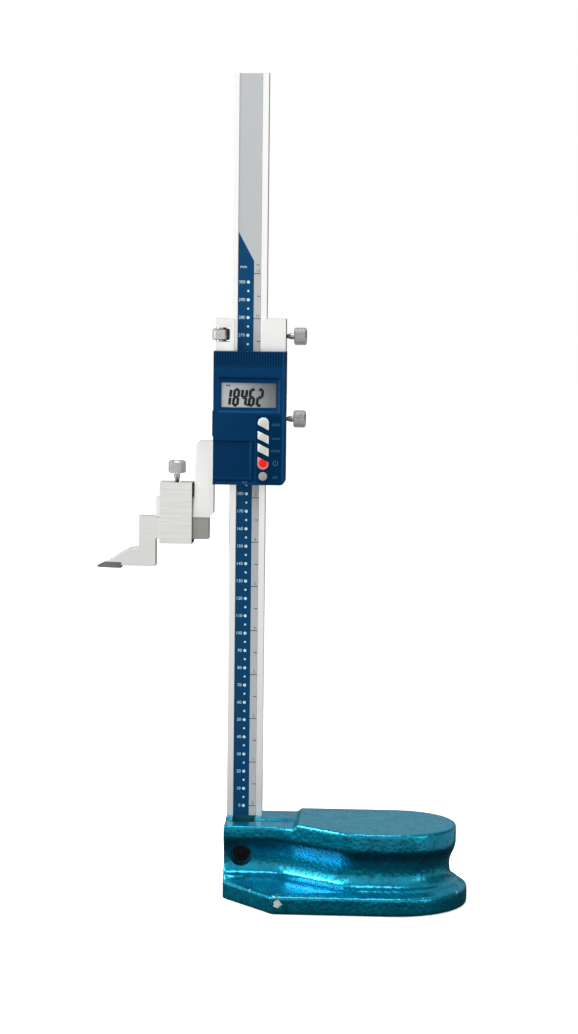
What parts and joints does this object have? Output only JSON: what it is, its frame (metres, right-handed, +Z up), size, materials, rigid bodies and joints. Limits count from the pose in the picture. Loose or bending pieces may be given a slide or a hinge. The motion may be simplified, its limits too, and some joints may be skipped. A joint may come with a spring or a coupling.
{
  "type": "digital height gauge",
  "caption": "Digital height gauge: a slider with a display and a clamped scriber runs on a graduated column in a painted cast base, with fine adjustment and lock screws.",
  "frame": {"origin": "on the sole of the base, below the middle of the column", "axes": "+Z up along the column, +X along the base away from the scriber, +Y away from the user; the display faces -Y"},
  "size_m": [0.2137, 0.0851, 0.465],
  "materials": {
    "hammertone_teal": "gloss hammertone paint, mottled, chipped along the edges",
    "black_oxide": "black oxide",
    "ground_steel": "satin, ground along the length",
    "grating_laminate": "laminate with etched copper",
    "printed_film": "printed polyester film, dark blue and silver grey",
    "brushed_steel": "ground and lightly brushed",
    "knurled_steel": "bright satin, fine straight knurl",
    "brass": "plain",
    "zinc_screws": "zinc plated",
    "blue_abs": "moulded, semi-gloss",
    "clear_window": "clear",
    "lcd_glass": "grey reflective display",
    "grey_rubber": "soft",
    "green_board": "solder mask",
    "black_plastic": "moulded",
    "navy_film": "printed film",
    "white_keys": "moulded",
    "red_key": "moulded",
    "grey_key": "moulded",
    "cell_steel": "nickel plated can",
    "carbide": "ground tungsten carbide"
  },
  "bodies": {
    "base": {"base_casting": "hammertone_teal", "beam_clamp_screw": "black_oxide", "column_beam": "ground_steel", "scale_grating": "grating_laminate", "scale_overlay": "printed_film"},
    "fine_box": {"fine_adjust_box": "brushed_steel"},
    "fine_nut": {"fine_adjust_nut": "knurled_steel"},
    "fine_shoe": {"fine_lock_shoe": "brass"},
    "fine_lock": {"fine_lock_screw": "knurled_steel"},
    "slider": {"slider_frame": "brushed_steel", "slider_back_plate": "brushed_steel", "back_plate_screws": "zinc_screws", "slider_gib": "brass", "gib_set_screws": "black_oxide", "fine_adjust_stud": "zinc_screws", "display_housing": "blue_abs", "housing_screws": "zinc_screws", "display_window": "clear_window", "lcd_panel": "lcd_glass", "zebra_strips": "grey_rubber", "circuit_board": "green_board", "sensor_block": "black_plastic", "key_membrane": "grey_rubber", "keypad_overlay": "navy_film", "battery_tray": "black_plastic", "battery": "cell_steel", "battery_contacts": "brass", "data_socket": "black_plastic"},
    "slider_shoe": {"slider_lock_shoe": "brass"},
    "slider_lock": {"slider_lock_screw": "knurled_steel"},
    "battery_door": {"battery_cover": "blue_abs"},
    "port_door": {"data_port_cover": "blue_abs"},
    "zero_key": {"key_zero": "white_keys"},
    "unit_key": {"key_unit": "white_keys"},
    "hold_key": {"key_hold": "white_keys"},
    "power_key": {"key_power": "red_key"},
    "set_key": {"key_set": "grey_key"},
    "clamp": {"scriber_clamp": "brushed_steel"},
    "clamp_pad": {"clamp_pad": "brass"},
    "clamp_thumb_screw": {"clamp_screw": "knurled_steel"},
    "scriber": {"scriber_body": "brushed_steel", "carbide_tip": "carbide"}
  },
  "joints": [
    {"name": "column_slide", "type": "slide", "parent": "base", "child": "fine_box", "axis": [0, 0, 1], "range_m": [-0.18162, 0.11238]},
    {"name": "fine_slide", "type": "slide", "parent": "fine_box", "child": "slider", "axis": [0, 0, 1], "range_m": [-0.003, 0.003]},
    {"name": "fine_nut_turn", "type": "hinge", "parent": "fine_box", "child": "fine_nut", "pos_m": [-0.0159, 0, 0.3184], "axis": [0, 0, 1], "range_deg": [-2170, 2170]},
    {"name": "fine_shoe_slide", "type": "slide", "parent": "fine_box", "child": "fine_shoe", "axis": [1, 0, 0], "range_m": [0, 0.0007]},
    {"name": "fine_lock_turn", "type": "hinge", "parent": "fine_shoe", "child": "fine_lock", "pos_m": [0.0215, 0, 0.3178], "axis": [1, 0, 0], "range_deg": [0, 365]},
    {"name": "slider_shoe_slide", "type": "slide", "parent": "slider", "child": "slider_shoe", "axis": [1, 0, 0], "range_m": [0, 0.0007]},
    {"name": "slider_lock_turn", "type": "hinge", "parent": "slider_shoe", "child": "slider_lock", "pos_m": [0.0215, 0, 0.271], "axis": [1, 0, 0], "range_deg": [0, 365]},
    {"name": "battery_cover_slide", "type": "slide", "parent": "slider", "child": "battery_door", "axis": [-1, 0, 0], "range_m": [0, 0.024]},
    {"name": "port_cover_pull", "type": "slide", "parent": "slider", "child": "port_door", "axis": [-1, 0, 0], "range_m": [0, 0.006]},
    {"name": "clamp_slide", "type": "slide", "parent": "slider", "child": "clamp", "axis": [1, 0, 0], "range_m": [-0.0016, 0.0006]},
    {"name": "clamp_pad_lift", "type": "slide", "parent": "clamp", "child": "clamp_pad", "axis": [0, 0, 1], "range_m": [0, 0.0007]},
    {"name": "clamp_turn", "type": "hinge", "parent": "clamp_pad", "child": "clamp_thumb_screw", "pos_m": [-0.0404, 0, 0.2342], "axis": [0, 0, 1], "range_deg": [0, 365]},
    {"name": "scriber_slide", "type": "slide", "parent": "slider", "child": "scriber", "axis": [-1, 0, 0], "range_m": [0, 0.012]},
    {"name": "zero_key_press", "type": "slide", "parent": "slider", "child": "zero_key", "axis": [0, 1, 0], "range_m": [0, 0.0006], "stiffness_N_per_m": 1500},
    {"name": "unit_key_press", "type": "slide", "parent": "slider", "child": "unit_key", "axis": [0, 1, 0], "range_m": [0, 0.0006], "stiffness_N_per_m": 1500},
    {"name": "hold_key_press", "type": "slide", "parent": "slider", "child": "hold_key", "axis": [0, 1, 0], "range_m": [0, 0.0006], "stiffness_N_per_m": 1500},
    {"name": "power_key_press", "type": "slide", "parent": "slider", "child": "power_key", "axis": [0, 1, 0], "range_m": [0, 0.0006], "stiffness_N_per_m": 1500},
    {"name": "set_key_press", "type": "slide", "parent": "slider", "child": "set_key", "axis": [0, 1, 0], "range_m": [0, 0.0006], "stiffness_N_per_m": 1500}
  ],
  "couplings": [
    {"joint": "fine_nut_turn", "follows": "fine_slide", "rad_per_m": -12566},
    {"joint": "fine_lock_turn", "follows": "fine_shoe_slide", "rad_per_m": 8976},
    {"joint": "slider_lock_turn", "follows": "slider_shoe_slide", "rad_per_m": 8976},
    {"joint": "clamp_turn", "follows": "clamp_pad_lift", "rad_per_m": 8976}
  ]
}
